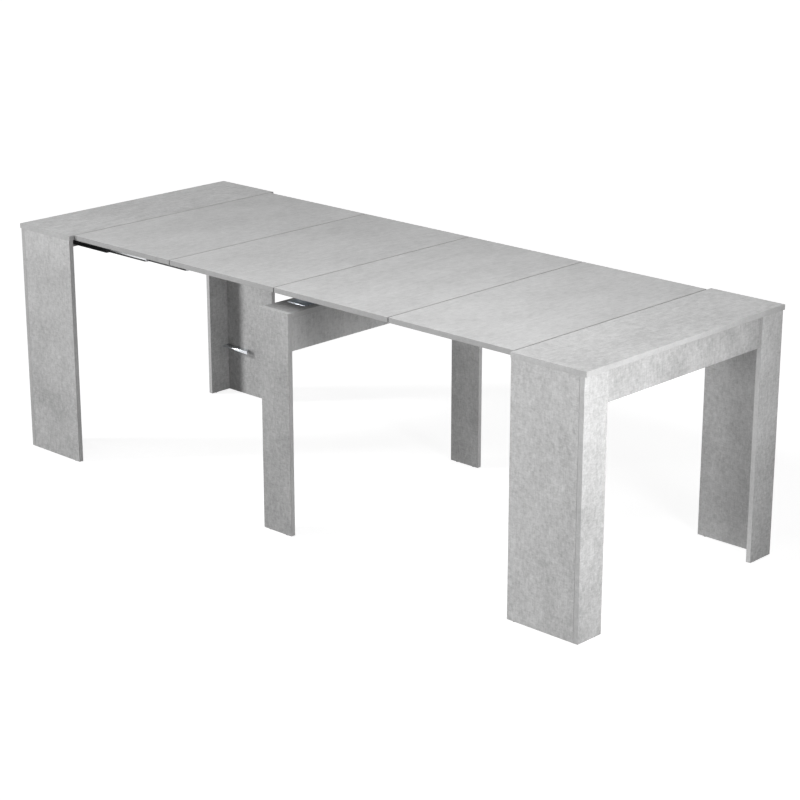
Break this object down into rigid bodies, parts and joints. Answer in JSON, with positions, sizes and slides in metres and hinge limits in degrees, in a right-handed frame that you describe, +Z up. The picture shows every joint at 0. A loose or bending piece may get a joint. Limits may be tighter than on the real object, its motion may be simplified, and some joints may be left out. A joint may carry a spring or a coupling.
{
  "type": "extendable console table",
  "caption": "Extendable console table in concrete-look board, shown extended: panel legs at both ends, a middle leg, nested telescopic slides under loose leaves that lie flush in the top",
  "frame": {"origin": "on the floor at the middle of the extended table, the bottom centre of its bounding box", "axes": "+X along the table from the left end to the right end, +Y from front to back, +Z up"},
  "size_m": [2.391, 0.9, 0.772],
  "materials": {
    "concrete_melamine": "matt concrete-look melamine",
    "cleat_board": "raw board",
    "black_slide": "black powder coat",
    "aluminium_slide": "drawn and anodised",
    "grey_steel": "blue-grey paint",
    "chrome_sheet": "bright chrome",
    "block_plastic": "moulded black plastic",
    "glide_plastic": "moulded dark plastic"
  },
  "bodies": {
    "left_end": {"left_apron": "concrete_melamine", "left_back_end_board": "concrete_melamine", "left_back_leaf_bracket": "chrome_sheet", "left_back_side_board": "concrete_melamine", "left_back_slide": "black_slide", "left_corner_blocks": "block_plastic", "left_front_end_board": "concrete_melamine", "left_front_leaf_bracket": "chrome_sheet", "left_front_side_board": "concrete_melamine", "left_front_slide": "black_slide", "left_glides": "glide_plastic", "left_slide_angles": "black_slide", "left_top": "concrete_melamine"},
    "right_end": {"right_apron": "concrete_melamine", "right_back_end_board": "concrete_melamine", "right_back_side_board": "concrete_melamine", "right_back_slide": "aluminium_slide", "right_corner_blocks": "block_plastic", "right_front_end_board": "concrete_melamine", "right_front_side_board": "concrete_melamine", "right_front_slide": "aluminium_slide", "right_glides": "glide_plastic", "right_slide_angles": "black_slide", "right_top": "concrete_melamine"},
    "middle_leg": {"middle_back_leg": "concrete_melamine", "middle_back_plate": "grey_steel", "middle_back_slide": "aluminium_slide", "middle_front_leg": "concrete_melamine", "middle_front_plate": "grey_steel", "middle_front_slide": "aluminium_slide", "middle_glides": "glide_plastic", "middle_left_rail": "concrete_melamine", "middle_right_rail": "concrete_melamine", "middle_top_board": "concrete_melamine"},
    "stage_1": {"stage_1_back_slide": "aluminium_slide", "stage_1_front_slide": "aluminium_slide"},
    "stage_2": {"stage_2_back_slide": "aluminium_slide", "stage_2_front_slide": "aluminium_slide"},
    "stage_3": {"stage_3_back_slide": "aluminium_slide", "stage_3_front_slide": "aluminium_slide"},
    "stage_4": {"stage_4_back_slide": "aluminium_slide", "stage_4_front_slide": "aluminium_slide"},
    "stage_6": {"stage_6_back_slide": "aluminium_slide", "stage_6_front_slide": "aluminium_slide"},
    "stage_7": {"stage_7_back_slide": "aluminium_slide", "stage_7_front_slide": "aluminium_slide"},
    "stage_8": {"stage_8_back_slide": "aluminium_slide", "stage_8_front_slide": "aluminium_slide"},
    "stage_9": {"stage_9_back_slide": "aluminium_slide", "stage_9_front_slide": "aluminium_slide"},
    "leaf_1": {"leaf_1": "concrete_melamine", "leaf_1_cleats": "cleat_board"},
    "leaf_2": {"leaf_2": "concrete_melamine", "leaf_2_cleats": "cleat_board"},
    "leaf_3": {"leaf_3": "concrete_melamine", "leaf_3_cleats": "cleat_board"},
    "leaf_4": {"leaf_4": "concrete_melamine", "leaf_4_cleats": "cleat_board"}
  },
  "joints": [
    {"name": "table_closing", "type": "slide", "parent": "left_end", "child": "right_end", "axis": [-1, 0, 0], "range_m": [0, 1.868]},
    {"name": "middle_leg_travel", "type": "slide", "parent": "left_end", "child": "middle_leg", "axis": [-1, 0, 0], "range_m": [0, 0.934]},
    {"name": "stage_1_travel", "type": "slide", "parent": "left_end", "child": "stage_1", "axis": [-1, 0, 0], "range_m": [0, 0.16364]},
    {"name": "stage_2_travel", "type": "slide", "parent": "left_end", "child": "stage_2", "axis": [-1, 0, 0], "range_m": [0, 0.32727]},
    {"name": "stage_3_travel", "type": "slide", "parent": "left_end", "child": "stage_3", "axis": [-1, 0, 0], "range_m": [0, 0.52952]},
    {"name": "stage_4_travel", "type": "slide", "parent": "left_end", "child": "stage_4", "axis": [-1, 0, 0], "range_m": [0, 0.73176]},
    {"name": "stage_6_travel", "type": "slide", "parent": "left_end", "child": "stage_6", "axis": [-1, 0, 0], "range_m": [0, 1.13624]},
    {"name": "stage_7_travel", "type": "slide", "parent": "left_end", "child": "stage_7", "axis": [-1, 0, 0], "range_m": [0, 1.33848]},
    {"name": "stage_8_travel", "type": "slide", "parent": "left_end", "child": "stage_8", "axis": [-1, 0, 0], "range_m": [0, 1.54073]},
    {"name": "stage_9_travel", "type": "slide", "parent": "left_end", "child": "stage_9", "axis": [-1, 0, 0], "range_m": [0, 1.70436]},
    {"name": "leaf_1_lift", "type": "slide", "parent": "middle_leg", "child": "leaf_1", "axis": [0, 0, 1], "range_m": [0, 0.5604]},
    {"name": "leaf_2_lift", "type": "slide", "parent": "middle_leg", "child": "leaf_2", "axis": [0, 0, 1], "range_m": [0, 0.5604]},
    {"name": "leaf_3_lift", "type": "slide", "parent": "middle_leg", "child": "leaf_3", "axis": [0, 0, 1], "range_m": [0, 0.5604]},
    {"name": "leaf_4_lift", "type": "slide", "parent": "middle_leg", "child": "leaf_4", "axis": [0, 0, 1], "range_m": [0, 0.5604]}
  ],
  "couplings": [
    {"joint": "middle_leg_travel", "follows": "table_closing", "ratio": 0.5},
    {"joint": "stage_1_travel", "follows": "table_closing", "ratio": 0.0876},
    {"joint": "stage_2_travel", "follows": "table_closing", "ratio": 0.1752},
    {"joint": "stage_3_travel", "follows": "table_closing", "ratio": 0.28347},
    {"joint": "stage_4_travel", "follows": "table_closing", "ratio": 0.39173},
    {"joint": "stage_6_travel", "follows": "table_closing", "ratio": 0.60827},
    {"joint": "stage_7_travel", "follows": "table_closing", "ratio": 0.71653},
    {"joint": "stage_8_travel", "follows": "table_closing", "ratio": 0.8248},
    {"joint": "stage_9_travel", "follows": "table_closing", "ratio": 0.9124},
    {"joint": "leaf_1_lift", "follows": "table_closing", "ratio": 0.3},
    {"joint": "leaf_2_lift", "follows": "table_closing", "ratio": 0.3},
    {"joint": "leaf_3_lift", "follows": "table_closing", "ratio": 0.3},
    {"joint": "leaf_4_lift", "follows": "table_closing", "ratio": 0.3}
  ]
}
